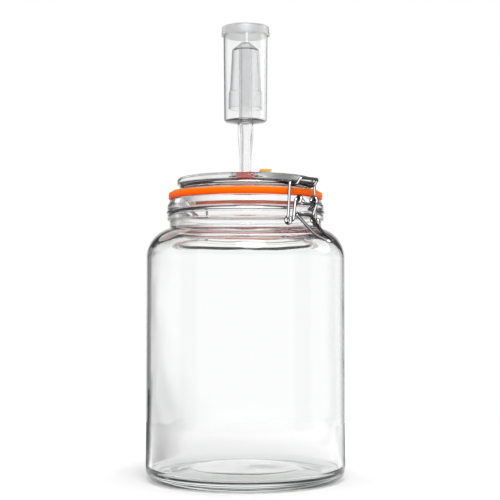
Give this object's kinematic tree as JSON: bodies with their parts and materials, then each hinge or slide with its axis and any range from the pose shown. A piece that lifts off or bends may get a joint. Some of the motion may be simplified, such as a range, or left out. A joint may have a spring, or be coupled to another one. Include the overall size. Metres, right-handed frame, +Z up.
{
  "type": "fermentation jar with airlock",
  "caption": "Clear glass clip-top fermentation jar: hinged glass lid on an orange gasket, wire clamp, and a water airlock in a rubber grommet.",
  "frame": {"origin": "middle of the round ring that the jar stands on", "axes": "+Z up along the jar's axis, -Y towards the clamp, +Y towards the lid's hinge"},
  "size_m": [0.158, 0.1752, 0.3617],
  "materials": {
    "jar_glass": "clear",
    "lid_glass": "clear",
    "gasket_rubber": "satin",
    "grommet_rubber": "satin",
    "wire_steel": "polished",
    "airlock_plastic": "clear",
    "cap_plastic": "translucent"
  },
  "bodies": {
    "jar": {"glass_jar": "jar_glass", "jar_neck": "jar_glass", "neck_hoop": "wire_steel"},
    "lid": {"glass_lid": "lid_glass", "gasket": "gasket_rubber", "grommet": "grommet_rubber", "lid_hoop": "wire_steel"},
    "lever": {"lever": "wire_steel"},
    "bail": {"bail": "wire_steel"},
    "airlock": {"airlock_body": "airlock_plastic"},
    "bubbler": {"airlock_bubbler": "airlock_plastic"},
    "cap": {"airlock_cap": "cap_plastic"}
  },
  "joints": [
    {"name": "lid_swing", "type": "hinge", "parent": "jar", "child": "lid", "pos_m": [0, 0.0685, 0.2215], "axis": [-1, 0, 0], "range_deg": [0, 105]},
    {"name": "lever_swing", "type": "hinge", "parent": "jar", "child": "lever", "pos_m": [0, -0.0695, 0.218], "axis": [-1, 0, 0], "range_deg": [0, 80]},
    {"name": "bail_swing", "type": "hinge", "parent": "lid", "child": "bail", "pos_m": [0, -0.0646, 0.2316], "axis": [-1, 0, 0], "range_deg": [0, 44]},
    {"name": "airlock_pull", "type": "slide", "parent": "lid", "child": "airlock", "axis": [0, 0, 1], "range_m": [0, 0.02]},
    {"name": "bubbler_float", "type": "slide", "parent": "airlock", "child": "bubbler", "axis": [0, 0, 1], "range_m": [0, 0.008]},
    {"name": "cap_pull", "type": "slide", "parent": "airlock", "child": "cap", "axis": [0, 0, 1], "range_m": [0, 0.015]}
  ],
  "couplings": [
    {"joint": "bail_swing", "follows": "lever_swing", "ratio": 0.54}
  ]
}
